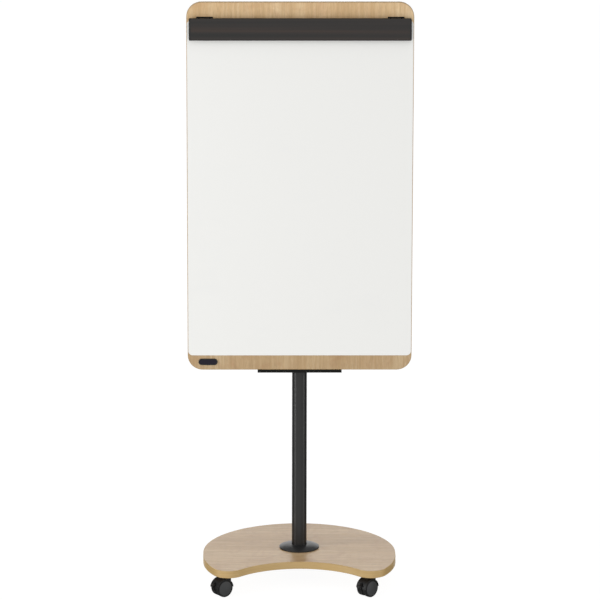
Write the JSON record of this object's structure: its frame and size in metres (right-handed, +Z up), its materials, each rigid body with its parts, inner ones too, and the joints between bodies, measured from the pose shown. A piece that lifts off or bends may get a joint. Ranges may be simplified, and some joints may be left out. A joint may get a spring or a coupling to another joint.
{
  "type": "flip chart easel",
  "caption": "Mobile flip chart easel: tall wood-look board with a white writing panel and a hinged paper clamp, on a round post over a lobed base with braked twin-wheel casters.",
  "frame": {"origin": "on the floor, on the axis of the post", "axes": "+Z up along the post, -Y towards the writer (the writing panel faces -Y), +X to the writer's right"},
  "size_m": [0.75, 0.5504, 1.983],
  "materials": {
    "oak_laminate": "matt laminate, straight grain",
    "oak_edging": "matt edging",
    "dark_steel": "black powder coat",
    "anthracite_steel": "anthracite powder coat",
    "anthracite_aluminium": "anthracite lacquer",
    "bare_aluminium": "anodised",
    "zinc_steel": "zinc plated",
    "white_lacquer": "semi-gloss white lacquer",
    "black_plastic": "moulded",
    "grey_plastic": "moulded",
    "badge_gloss": "glossy, blank",
    "black_rubber": "matt",
    "caster_tread": "matt"
  },
  "bodies": {
    "stand": {"base_board": "oak_laminate", "base_edge_band": "oak_edging", "foot_counter_plate": "dark_steel", "foot_bolts": "zinc_steel", "post_foot": "dark_steel", "foot_grub_screws": "zinc_steel", "foot_cover": "anthracite_steel", "post_tube": "anthracite_steel", "post_cap": "black_plastic", "board_bracket": "dark_steel", "saddle_lower": "dark_steel", "saddle_upper": "dark_steel", "saddle_bolts": "zinc_steel", "saddle_nuts": "zinc_steel", "bracket_screws": "zinc_steel", "back_board": "oak_laminate", "board_edge_band": "oak_edging", "writing_panel": "white_lacquer", "badge_plate": "black_plastic", "badge_insert": "badge_gloss", "hook_rail": "bare_aluminium", "panel_screws": "zinc_steel", "hinge_bracket_left": "dark_steel", "hinge_bracket_right": "dark_steel", "hinge_pins": "zinc_steel", "clamp_springs": "zinc_steel", "caster_inserts": "zinc_steel", "caster_stems": "zinc_steel"},
    "clamp": {"clamp_bar": "anthracite_aluminium", "clamp_end_cap_left": "black_plastic", "clamp_end_cap_right": "black_plastic", "clamp_grip_strip": "black_rubber"},
    "pad_hook_left": {"pad_hook_left": "black_plastic"},
    "pad_hook_right": {"pad_hook_right": "black_plastic"},
    "front_left_swivel": {"caster_fl_hood": "black_plastic", "caster_fl_axle": "zinc_steel"},
    "front_left_wheel_a": {"caster_fl_wheel_a": "grey_plastic", "caster_fl_tyre_a": "caster_tread"},
    "front_left_wheel_b": {"caster_fl_wheel_b": "grey_plastic", "caster_fl_tyre_b": "caster_tread"},
    "front_left_brake": {"caster_fl_brake": "black_plastic"},
    "front_right_swivel": {"caster_fr_hood": "black_plastic", "caster_fr_axle": "zinc_steel"},
    "front_right_wheel_a": {"caster_fr_wheel_a": "grey_plastic", "caster_fr_tyre_a": "caster_tread"},
    "front_right_wheel_b": {"caster_fr_wheel_b": "grey_plastic", "caster_fr_tyre_b": "caster_tread"},
    "front_right_brake": {"caster_fr_brake": "black_plastic"},
    "rear_left_swivel": {"caster_rl_hood": "black_plastic", "caster_rl_axle": "zinc_steel"},
    "rear_left_wheel_a": {"caster_rl_wheel_a": "grey_plastic", "caster_rl_tyre_a": "caster_tread"},
    "rear_left_wheel_b": {"caster_rl_wheel_b": "grey_plastic", "caster_rl_tyre_b": "caster_tread"},
    "rear_right_swivel": {"caster_rr_hood": "black_plastic", "caster_rr_axle": "zinc_steel"},
    "rear_right_wheel_a": {"caster_rr_wheel_a": "grey_plastic", "caster_rr_tyre_a": "caster_tread"},
    "rear_right_wheel_b": {"caster_rr_wheel_b": "grey_plastic", "caster_rr_tyre_b": "caster_tread"}
  },
  "joints": [
    {"name": "clamp_hinge", "type": "hinge", "parent": "stand", "child": "clamp", "pos_m": [0, -0.055, 1.9245], "axis": [-1, 0, 0], "range_deg": [0, 80], "stiffness_Nm_per_rad": 0.3, "springref_deg": -68.75},
    {"name": "pad_hook_left_slide", "type": "slide", "parent": "stand", "child": "pad_hook_left", "axis": [1, 0, 0], "range_m": [-0.039, 0.065]},
    {"name": "pad_hook_right_slide", "type": "slide", "parent": "stand", "child": "pad_hook_right", "axis": [-1, 0, 0], "range_m": [-0.039, 0.065]},
    {"name": "front_left_swivel_turn", "type": "hinge", "parent": "stand", "child": "front_left_swivel", "pos_m": [-0.2425, -0.222, 0.058], "axis": [0, 0, 1], "continuous": true},
    {"name": "front_left_wheel_a_spin", "type": "hinge", "parent": "front_left_swivel", "child": "front_left_wheel_a", "pos_m": [-0.26052, -0.23462, 0.03], "axis": [-0.5736, 0.8192, 0], "continuous": true},
    {"name": "front_left_wheel_b_spin", "type": "hinge", "parent": "front_left_swivel", "child": "front_left_wheel_b", "pos_m": [-0.26052, -0.23462, 0.03], "axis": [-0.5736, 0.8192, 0], "continuous": true},
    {"name": "front_left_brake_press", "type": "hinge", "parent": "front_left_swivel", "child": "front_left_brake", "pos_m": [-0.27576, -0.24529, 0.043], "axis": [0.5736, -0.8192, 0], "range_deg": [0, 18]},
    {"name": "front_right_swivel_turn", "type": "hinge", "parent": "stand", "child": "front_right_swivel", "pos_m": [0.2425, -0.222, 0.058], "axis": [0, 0, 1], "continuous": true},
    {"name": "front_right_wheel_a_spin", "type": "hinge", "parent": "front_right_swivel", "child": "front_right_wheel_a", "pos_m": [0.22694, -0.23756, 0.03], "axis": [-0.7071, 0.7071, 0], "continuous": true},
    {"name": "front_right_wheel_b_spin", "type": "hinge", "parent": "front_right_swivel", "child": "front_right_wheel_b", "pos_m": [0.22694, -0.23756, 0.03], "axis": [-0.7071, 0.7071, 0], "continuous": true},
    {"name": "front_right_brake_press", "type": "hinge", "parent": "front_right_swivel", "child": "front_right_brake", "pos_m": [0.21379, -0.25071, 0.043], "axis": [0.7071, -0.7071, 0], "range_deg": [0, 18]},
    {"name": "rear_left_swivel_turn", "type": "hinge", "parent": "stand", "child": "rear_left_swivel", "pos_m": [-0.16, 0.165, 0.058], "axis": [0, 0, 1], "continuous": true},
    {"name": "rear_left_wheel_a_spin", "type": "hinge", "parent": "rear_left_swivel", "child": "rear_left_wheel_a", "pos_m": [-0.16752, 0.14433, 0.03], "axis": [-0.9397, 0.342, 0], "continuous": true},
    {"name": "rear_left_wheel_b_spin", "type": "hinge", "parent": "rear_left_swivel", "child": "rear_left_wheel_b", "pos_m": [-0.16752, 0.14433, 0.03], "axis": [-0.9397, 0.342, 0], "continuous": true},
    {"name": "rear_right_swivel_turn", "type": "hinge", "parent": "stand", "child": "rear_right_swivel", "pos_m": [0.16, 0.165, 0.058], "axis": [0, 0, 1], "continuous": true},
    {"name": "rear_right_wheel_a_spin", "type": "hinge", "parent": "rear_right_swivel", "child": "rear_right_wheel_a", "pos_m": [0.14006, 0.1557, 0.03], "axis": [-0.4226, 0.9063, 0], "continuous": true},
    {"name": "rear_right_wheel_b_spin", "type": "hinge", "parent": "rear_right_swivel", "child": "rear_right_wheel_b", "pos_m": [0.14006, 0.1557, 0.03], "axis": [-0.4226, 0.9063, 0], "continuous": true}
  ]
}
